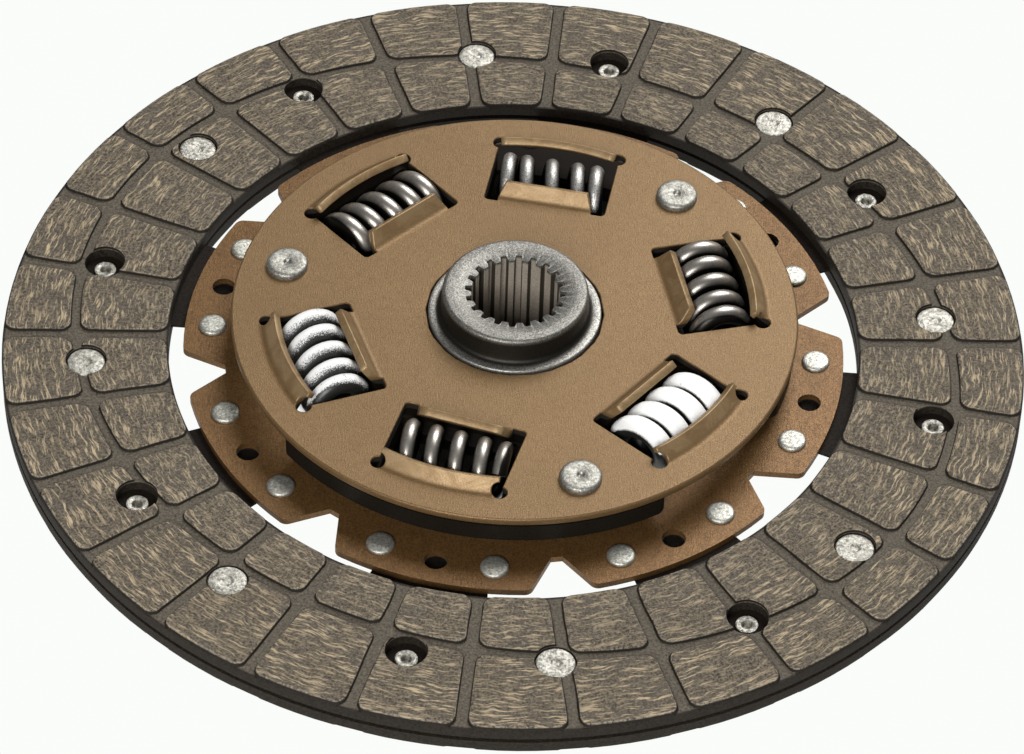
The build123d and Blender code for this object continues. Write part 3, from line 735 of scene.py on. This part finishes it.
# Thin black discs in the lobes' tooling holes, which are open in the CAD: sheets put there as painted shade
back_radius, back_top, back_base = 2.42, segment_base + 0.3, segment_base + 0.05
hole_shade_discs = turned_set(
    "hole_shade_discs",
    [(0, back_top), (back_radius, back_top), (back_radius, back_base), (0, back_base)],
    on_circle(segment_rivet_radius, every(lobe_count, lobe_angle)),
    "disc",
)
paint(hole_shade_discs, shade_black)

stop_pins = turned_set(
    "shouldered_pins",
    [
        (0, plate_top + 0.75),
        (0.45, plate_top + 0.85),
        (0.75, plate_top + 1.35),
        (1.0, plate_top + 1.48),
        (3.5, plate_top + 1.50),
        (4.0, plate_top + 1.42),
        (4.35, plate_top + 1.18),
        (4.5, plate_top + 0.80),
        (4.5, plate_top),
        (2.8, plate_top),
        (2.8, plate_top - 1.8),
        (3.6, plate_top - 1.8),
        (3.6, carrier_top),
        (2.8, carrier_top),
        (2.8, carrier_top - 1.5),
        (4.5, carrier_top - 1.5),
        (4.5, carrier_top - 2.2),
        (4.1, carrier_top - 2.65),
        (1.6, carrier_top - 2.7),
        (0, carrier_top - 2.7),
    ],
    on_circle(pin_circle_radius, pin_angles),
    "disc",
    56,
)
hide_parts("stop_pins")
for rivets, finish in (
    (front_rivets, sunk_rivet_finish),
    (rear_rivets, sunk_rivet_finish),
    (segment_rivets, rivet_finish),
    (stop_pins, pin_finish),
):
    paint(rivets, finish)


# ---- Damper springs ----
# A coil is painted black as shade from its ends inward, and below a height over its middle that is a share
# of its radius. Each of the two fades over a width.
end_shade, end_fade = 0.5, 1.4
under_shade, under_fade = 0.05, 0.35


def clamped(value):
    return min(1.0, max(0.0, value))


def coil(number, angle, wire_radius, turns, closed_turns, start_angle):
    """A round-wire compression spring with closed ends ground flat, lying in its window.

    Its marks say how far a point of the wire faces out of the coil and along it, and are -1 where the coil
    is painted black as shade.
    """
    closed_pitch = 2 * wire_radius + 0.05
    wire_length = 2 * (spring_half_length - wire_radius)
    open_pitch = (wire_length - 2 * closed_turns * closed_pitch) / (turns - 2 * closed_turns)
    open_half = turns / 2 - closed_turns
    coil_radius = spring_radius - wire_radius
    outward = Vector((cos(radians(angle)), sin(radians(angle)), 0))
    along = Vector((sin(radians(angle)), -cos(radians(angle)), 0))
    upward = Vector((0, 0, 1))
    centre = outward * spring_circle_radius + upward * spring_level
    steps, sides = round(turns * 36), 18
    vertices, faces, outside, lengthwise = [], [], [], []
    for step in range(steps + 1):
        turn = turns * (step / steps - 0.5)
        phase = radians(start_angle) + 2 * pi * turn
        distance = min(abs(turn), open_half) * open_pitch
        distance += max(abs(turn) - open_half, 0) * closed_pitch
        distance = distance if turn >= 0 else -distance
        arm = outward * cos(phase) + upward * sin(phase)
        for side in range(sides):
            spin = 2 * pi * side / sides
            offset = distance + wire_radius * sin(spin)
            offset = max(-spring_half_length, min(spring_half_length, offset))
            vertices.append(centre + arm * (coil_radius + wire_radius * cos(spin)) + along * offset)
            shown = clamped((spring_half_length - end_shade - abs(offset)) / end_fade)
            shown *= clamped((sin(phase) - under_shade) / under_fade)
            outside.append(shown * (cos(spin) + 1) - 1)
            lengthwise.append(shown * (sin(spin) + 1) - 1)
    for step in range(steps):
        for side in range(sides):
            following = (side + 1) % sides
            low, high = step * sides, (step + 1) * sides
            faces.append((low + side, low + following, high + following, high + side))
    faces.append(tuple(range(sides)))
    faces.append(tuple(steps * sides + side for side in range(sides)))
    marks = [("outward", outside), ("lengthwise", lengthwise)]
    spring = new_piece(f"coil_{number}", vertices, faces, "damper_springs", 50, marks)
    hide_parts(f"damper_spring_{number}")
    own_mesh(spring)
    return spring


# Wire radius, turns, and closed turns at each end
slim = (1.75, 5.0, 1.25)
open_slim = (1.75, 4.75, 0.6)
middle = (2.1, 4.5, 0.75)
stout = (2.4, 4.0, 0.75)

# Each window's spring: size, angle at which the wire crosses its middle, finish and slot
spring_looks = [
    (middle, 90, dark_coil, "dark_spring"),
    (slim, 90, grey_coil, "grey_spring"),
    (middle, 90, dark_coil, "dark_spring"),
    (middle, 90, speckled_coil, "white_spring"),
    (open_slim, 184, dark_coil, "dark_spring"),
    (stout, 270, white_coil, "white_spring"),
]
for number, (size, start_angle, finish, slot) in enumerate(spring_looks, 1):
    spring = coil(number, window_angles[number - 1], *size, start_angle)
    paint(spring, finish)


# ---- Side plate ----
# In a window, "out" is along the line from the axis through its middle, and "across" is at right
# angles to that. The outer lip is bent round the axis, and the inner lip along a straight line.
plate_thickness = 1.8
rim_edge = 0.4
sheared_edge = 0.22
bend_radius = 1.8
window_half_length = 13.4
outer_bend_radius = 54.2
outer_lip_reach, outer_lip_height = 2.55, 3.0
outer_lip_half_angle = 14.4
relief_hole = (51.5, 13.2, 1.65)  # out, across and radius
inner_bend_distance = 33.8
inner_lip_reach, inner_lip_height = 2.4, 3.2
inner_lip_root_half, inner_lip_tip_half = 10.4, 9.1
slot_bottom, slot_round = 33.1, 1.2
windows_begin, lips_part = 25.0, 45.0  # out


def bend(reach, height):
    """A lip's bend: its angle, the flat length that its arc takes up, and its length laid flat."""
    angle = atan2(height, reach)
    tangent = bend_radius * sin(angle / 2) / cos(angle / 2)
    return angle, tangent, bend_radius * angle + hypot(reach, height) - tangent


outer_bend = bend(outer_lip_reach, outer_lip_height)
inner_bend = bend(inner_lip_reach, inner_lip_height)
outer_bend_start = outer_bend_radius + outer_bend[1]
inner_bend_start = inner_bend_distance - inner_bend[1]


def bent(run, angle):
    """Where a point of a lip comes to, a length of flat sheet past its bend's start: reach, rise,
    slope."""
    if run <= 0:
        return run, 0.0, 0.0
    turned = min(run / bend_radius, angle)
    rest = run - bend_radius * turned
    return (
        bend_radius * sin(turned) + rest * cos(turned),
        bend_radius * (1 - cos(turned)) + rest * sin(turned),
        turned,
    )


def window_axes(angle):
    """The unit directions out and across at a window's angle."""
    return (cos(radians(angle)), sin(radians(angle))), (-sin(radians(angle)), cos(radians(angle)))


def pressed(point, depth):
    """A point of the flat blank after pressing, so far below the plate's top face."""
    x, y = point
    radius = hypot(x, y)
    for angle in window_angles:
        (ox, oy), (ax, ay) = window_axes(angle)
        out, across = x * ox + y * oy, x * ax + y * ay
        if out < windows_begin or abs(across) > relief_hole[1]:
            continue
        if out > lips_part and radius < outer_bend_start:
            reach, rise, slope = bent(outer_bend_start - radius, outer_bend[0])
            new_radius = outer_bend_start - reach - depth * sin(slope)
            level = plate_top + rise - depth * cos(slope)
            return (x / radius * new_radius, y / radius * new_radius, level)
        on_inner_lip = abs(across) < inner_lip_root_half + 0.05
        if inner_bend_start < out < lips_part and on_inner_lip:
            reach, rise, slope = bent(out - inner_bend_start, inner_bend[0])
            new_out = inner_bend_start + reach + depth * sin(slope)
            return (
                ox * new_out + ax * across,
                oy * new_out + ay * across,
                plate_top + rise - depth * cos(slope),
            )
    return (x, y, plate_top - depth)


def arc_points(centre, radius, start, end, step):
    """Points along an arc with both its ends, no further apart than a step."""
    count = max(2, ceil(abs(end - start) * radius / step))
    return [
        (
            centre[0] + radius * cos(start + (end - start) * n / count),
            centre[1] + radius * sin(start + (end - start) * n / count),
        )
        for n in range(count + 1)
    ]


def line_points(start, end, step):
    """Points along a straight line without its end, no further apart than a step."""
    dx, dy = end[0] - start[0], end[1] - start[1]
    count = max(1, ceil(hypot(dx, dy) / step))
    return [(start[0] + dx * n / count, start[1] + dy * n / count) for n in range(count)]


def window_blank():
    """Half of a window's edge in the flat blank, from the outer lip's tip to the inner lip's."""
    back = sheared_edge
    tip = outer_bend_start - outer_bend[2] + back
    end_angle = radians(outer_lip_half_angle) - back / tip
    hole_out, hole_across, hole_radius = relief_hole
    hole_radius += back
    along = hole_out * cos(end_angle) + hole_across * sin(end_angle)
    aside = hole_across * cos(end_angle) - hole_out * sin(end_angle)
    meets = along - sqrt(hole_radius**2 - aside**2)
    meeting = (meets * cos(end_angle), meets * sin(end_angle))
    hole_start = atan2(meeting[1] - hole_across, meeting[0] - hole_out)
    side = window_half_length + back
    hole_end = atan2(side - hole_across, -sqrt(hole_radius**2 - (side - hole_across) ** 2))
    slot_side = inner_lip_root_half - back
    lip_tip = inner_bend_start + inner_bend[2] - back
    bottom, corner = slot_bottom - back, slot_round
    edge = arc_points((0, 0), tip, 0.0, end_angle, 1.2)
    edge += line_points(edge.pop(), meeting, 0.3)
    edge += arc_points((hole_out, hole_across), hole_radius, hole_start, hole_end, 0.35)
    edge += line_points(edge.pop(), (bottom + corner, side), 2.0)
    edge += arc_points((bottom + corner, side - corner), corner, pi / 2, pi, 0.4)
    edge += arc_points((bottom + 0.3, slot_side + 0.3), 0.3, pi, 1.5 * pi, 0.2)
    edge += line_points((inner_bend_distance, slot_side), (lip_tip, inner_lip_tip_half - back), 0.3)
    edge += [(lip_tip, (inner_lip_tip_half - back) * share) for share in (1.0, 0.8, 0.6, 0.4, 0.2)]
    return edge


def window_rows():
    """Lines along both lips in the flat blank, close together through the bends."""
    rows = []
    runs = [-0.8, -0.4, 0.0] + [bend_radius * outer_bend[0] * n / 5 for n in range(1, 6)] + [1.9, 2.9]
    hole_out, hole_across, hole_radius = relief_hole
    for run in runs:
        radius = outer_bend_start - run
        row = [(radius * cos(radians(a / 2)), radius * sin(radians(a / 2))) for a in range(-28, 29)]
        clear = hole_radius + 0.45
        rows.append([p for p in row if hypot(p[0] - hole_out, abs(p[1]) - hole_across) > clear])
    for run in runs:
        out = inner_bend_start + run
        half = inner_lip_root_half - max(0.0, run) * 0.42 - 0.6
        rows.append([(out, half * n / 12) for n in range(-12, 13)])
    for side in (-1, 1):
        for radius in (hole_radius + 0.7, hole_radius + 1.3):
            turns = [radians(a) for a in range(-40, 151, 10)]
            rows.append(
                [(hole_out + radius * cos(a), side * (hole_across + radius * sin(a))) for a in turns]
            )
    return rows


def side_plate():
    """The pressed plate: a flat blank cut out, meshed, bent at its lips and given its thickness."""
    points, edges, holes = [], [], []

    def lay(line, closed):
        start = len(points)
        points.extend(line)
        edges.extend((start + n, start + n + 1) for n in range(len(line) - 1))
        if closed:
            edges.append((start + len(line) - 1, start))

    rim = arc_points((0, 0), plate_radius - rim_edge, 0, 2 * pi, 1.5)[:-1]
    bore = arc_points((0, 0), plate_bore_radius + sheared_edge, 0, 2 * pi, 1.0)[:-1]
    lay(rim, True)
    lay(bore, True)
    half = window_blank()
    other_half = [(out, -across) for out, across in half[:0:-1]]
    outline = half + [(half[-1][0], 0.0)] + other_half
    for angle in window_angles:
        (ox, oy), (ax, ay) = window_axes(angle)
        placed = [(out * ox + across * ax, out * oy + across * ay) for out, across in outline]
        holes.append(placed)
        lay(placed, True)
        for row in window_rows():
            lay([(out * ox + across * ax, out * oy + across * ay) for out, across in row], False)
    flat, _, triangles, _, _, _ = delaunay_2d_cdt([Vector(p) for p in points], edges, [], 0, 1e-4)

    def kept(triangle):
        x = sum(flat[i].x for i in triangle) / 3
        y = sum(flat[i].y for i in triangle) / 3
        if not plate_bore_radius < hypot(x, y) < plate_radius:
            return False
        return not any(inside(hole, x, y) for hole in holes)

    triangles = [tuple(t) for t in triangles if kept(t)]
    return thicken("side_plate_sheet", [(v.x, v.y) for v in flat], triangles)


def inside(loop, x, y):
    """Whether a point lies within a closed line."""
    crossings = 0
    for (x0, y0), (x1, y1) in zip(loop, loop[1:] + loop[:1]):
        if (y0 > y) != (y1 > y) and x < x0 + (y - y0) / (y1 - y0) * (x1 - x0):
            crossings += 1
    return crossings % 2 == 1


def thicken(name, flat, triangles):
    """A sheet mesh from the blank's triangles, its cut edges a little rounded."""
    edge_bulge = (0.0, 0.7, 1.0, 1.0, 0.7, 0.0)
    borders = {}
    for a, b, c in triangles:
        for first, second in ((a, b), (b, c), (c, a)):
            if (second, first) in borders:
                del borders[(second, first)]
            else:
                borders[(first, second)] = True
    outward = {}
    for first, second in borders:
        dx, dy = flat[second][0] - flat[first][0], flat[second][1] - flat[first][1]
        length = hypot(dx, dy)
        for end in (first, second):
            sum_x, sum_y = outward.get(end, (0.0, 0.0))
            outward[end] = (sum_x + dy / length, sum_y - dx / length)
    vertices, faces, index = [], [], {}

    def vertex(point, step, depth):
        key = (point, step)
        if key not in index:
            x, y = flat[point]
            if step and point in outward:
                nx, ny = outward[point]
                length = max(hypot(nx, ny), 0.7)
                shift = edge_bulge[step] * edge_size(point) * 2 / length / max(length, 1.4)
                x, y = x + nx * shift, y + ny * shift
            index[key] = len(vertices)
            vertices.append(pressed((x, y), depth))
        return index[key]

    def edge_size(point):
        return rim_edge if hypot(*flat[point]) > plate_radius - 1 else sheared_edge

    def edge_levels(size):
        """How far below the top face the rounded edge's six rows lie."""
        near = [0.0, size * 0.3, size]
        return near + [plate_thickness - level for level in near[::-1]]

    for triangle in triangles:
        faces.append([vertex(p, 0, 0.0) for p in triangle])
        faces.append([vertex(p, 5, plate_thickness) for p in triangle[::-1]])
    seams = set()
    for first, second in borders:
        for step in range(5):
            rows = []
            for row in (step, step + 1):
                for end in (first, second):
                    rows.append(vertex(end, row, edge_levels(edge_size(end))[row]))
            faces.append([rows[1], rows[0], rows[2], rows[3]])
            if step in (0, 4):
                pair = rows[:2] if step == 0 else rows[2:]
                seams.add(tuple(sorted(pair)))
    mesh = bpy.data.meshes.new(name)
    mesh.from_pydata([Vector(v) * MM for v in vertices], [], faces)
    work = bmesh.new()
    work.from_mesh(mesh)
    work.verts.ensure_lookup_table()
    for face in work.faces:
        face.smooth = True
    for edge in work.edges:
        ends = tuple(sorted(v.index for v in edge.verts))
        edge.smooth = ends not in seams
    bmesh.ops.recalc_face_normals(work, faces=work.faces)
    work.to_mesh(mesh)
    work.free()
    piece = add_object(name, mesh)
    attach(piece, "disc")
    return piece


plate = side_plate()
paint(plate, plate_finish)
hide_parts("side_plate")


# ---- Hub ----
def hub_head():
    """The hub's turned head and its splined bore, with rounded edges and a flared foot."""
    root, tip = spline_root_radius, spline_tip_radius
    foot_round, head_round = 1.1, 0.9
    mouth_radius, mouth_slope = 13.2, 0.14
    flank = [(5.6, tip + 0.01), (5.2, tip + 0.12), (3.4, root - 0.16), (3.0, root - 0.02)]
    gap = [(-step, radius) for step, radius in flank] + [(0.0, root)] + flank[::-1]
    tooth = [(-9.0, tip), (-7.2, tip)] + gap + [(7.2, tip)]
    collar = [(0.0, -3.0), (0.0, -0.5), (-0.04, -0.25), (-0.18, -0.07), (-0.4, 0.0), (-1.0, 0.0)]
    turns = [radians(a) for a in range(0, 91, 15)]
    outside = [(collar_radius + r, collar_level + z) for r, z in collar]
    foot_level = collar_level + foot_round
    outside += [(17.0 - foot_round * sin(a), foot_level - foot_round * cos(a)) for a in turns]
    outside += [(15.85, 19.0), (15.75, 20.6)]
    head_level = hub_top - head_round
    outside += [(14.8 + head_round * cos(a), head_level + head_round * sin(a)) for a in turns]
    outside += [(14.2, hub_top), (13.5, hub_top), (13.1, hub_top - 0.02), (12.8, hub_top - 0.06)]
    vertices, faces = [], []
    for centre in every(spline_count, spline_angle):
        for step, radius in tooth:
            angle = radians(centre + step)
            cone = hub_top - mouth_slope * (mouth_radius - radius)
            foot = hub_foot_level + (hub_foot_radius - radius) / 2
            column = outside + [(radius + 0.12, cone + 0.04), (radius + 0.02, cone - 0.03)]
            column += [(radius, cone - 0.2), (radius, 12.0), (radius, foot)]
            column += [(hub_foot_radius, hub_foot_level)]
            vertices += [(r * cos(angle), r * sin(angle), z) for r, z in column]
    rows = len(column)
    columns = spline_count * len(tooth)
    for n in range(columns):
        following = (n + 1) % columns
        for row in range(rows - 1):
            here, there = n * rows + row, following * rows + row
            faces.append((here, here + 1, there + 1, there))
    return new_piece("hub_head", vertices, faces, "hub", 40)


def hub_flange():
    """The rest of the hub: its CAD solid without the bore and the head."""
    source = nodes["hub"]
    mesh = source.data.copy()
    work = bmesh.new()
    work.from_mesh(mesh)
    bmesh.ops.remove_doubles(work, verts=work.verts, dist=weld_distance * MM)
    spare = []
    for face in work.faces:
        radii = [hypot(v.co.x, v.co.y) / MM for v in face.verts]
        levels = [v.co.z / MM for v in face.verts]
        in_bore = max(radii) < hub_foot_radius + 0.05
        in_head = max(radii) < collar_radius + 0.1 and max(levels) > collar_level - 2.9
        if in_bore or in_head:
            spare.append(face)
    bmesh.ops.delete(work, geom=spare, context="FACES")
    clean = bpy.data.meshes.new("hub_flange")
    work.to_mesh(clean)
    work.free()
    tidy_mesh(clean, 30)
    piece = add_object("hub_flange", clean)
    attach(piece, "hub")
    return piece


for piece, finish in ((hub_head(), hub_finish), (hub_flange(), flange_shade_finish)):
    paint(piece, finish)
    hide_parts("hub")


# ---- Carrier plate, cushion segments and the friction stack ----
for node, finish in (
    ("carrier_plate", carrier_finish),
    ("front_friction_washer", washer_finish),
    ("rear_friction_washer", washer_finish),
    ("support_washer", segment_shade_finish),
    ("disc_spring", segment_shade_finish),
    ("centring_bush", bush_finish),
):
    paint(nodes[node], finish)
for number in range(1, lobe_count + 1):
    paint(nodes[f"cushion_segment_{number}"], segment_shade_finish)


# ---- Floor, light and camera ----
# Centre of the floor's painted shadow, in millimetres
floor_shadow_y = 12.5


def build_stage():
    """A plain pale glowing floor with a painted shadow under the disc's middle, and a dim even sky.

    The painted shadow is fixed on the floor, but its centre was set to match the photograph.
    """
    bpy.ops.mesh.primitive_plane_add(size=6, location=(0, 0, -0.0002))
    floor = bpy.context.object
    floor.name = "floor"
    s = Shader("pale_floor")
    _, _, _, radius = s.polar(floor_shadow_y)
    s.surface.inputs["Emission Color"].default_value = (0.985, 1.0, 0.975, 1.0)
    # Painted shadow: the glow fades to near-black under the disc's middle
    s.link(s.span(radius, 51.5, 54.0, 0.004, 0.975), s.surface.inputs["Emission Strength"])
    paint(floor, s.finish((0.0, 0.0, 0.0), 1.0, specular=0.0))
    world = bpy.data.worlds.new("studio")
    world.use_nodes = True
    world.node_tree.nodes["Background"].inputs[0].default_value = (1.0, 1.0, 1.0, 1.0)
    world.node_tree.nodes["Background"].inputs[1].default_value = 0.14
    bpy.context.scene.world = world


def add_light(name, place, size, power):
    """A square lamp that points at the disc's middle."""
    light = bpy.data.lights.new(name, "AREA")
    light.size = size
    light.energy = power
    lamp = add_object(name, light)
    lamp.location = place
    lamp.rotation_euler = (-Vector(place)).to_track_quat("-Z", "Y").to_euler()


def add_camera():
    """The photograph's view: 45 degrees down, rolled a little, from about a metre."""
    elevation, roll, distance = radians(45.2348), radians(1.9889), 1.0487
    photo_width, photo_height = 1024, 754
    target_pixel_x, target_pixel_y = 513.855, 339.732
    focal_length_pixels = 4862.97
    target = Vector((0, 0, 6.94 * MM))
    back = Vector((0, -cos(elevation), sin(elevation)))
    right = Vector((1, 0, 0))
    up = Vector((0, sin(elevation), cos(elevation)))
    camera_right = right * cos(roll) + up * sin(roll)
    camera_up = up * cos(roll) - right * sin(roll)
    data = bpy.data.cameras.new("camera")
    data.sensor_width = 36.0
    data.lens = focal_length_pixels * data.sensor_width / photo_width
    data.shift_x = (photo_width / 2 - target_pixel_x) / photo_width
    data.shift_y = (target_pixel_y - photo_height / 2) / photo_width
    data.clip_start, data.clip_end = 0.05, 20
    camera = add_object("camera", data)
    turn = Matrix((camera_right, camera_up, back)).transposed().to_4x4()
    camera.matrix_world = Matrix.Translation(target + back * distance) @ turn
    bpy.context.scene.camera = camera


build_stage()
add_light("back", (0.42, 0.80, 0.95), size=0.75, power=18)
add_light("front", (-0.24, -1.00, 0.68), size=0.50, power=15)
add_camera()
bpy.context.scene.view_settings.view_transform = "Standard"
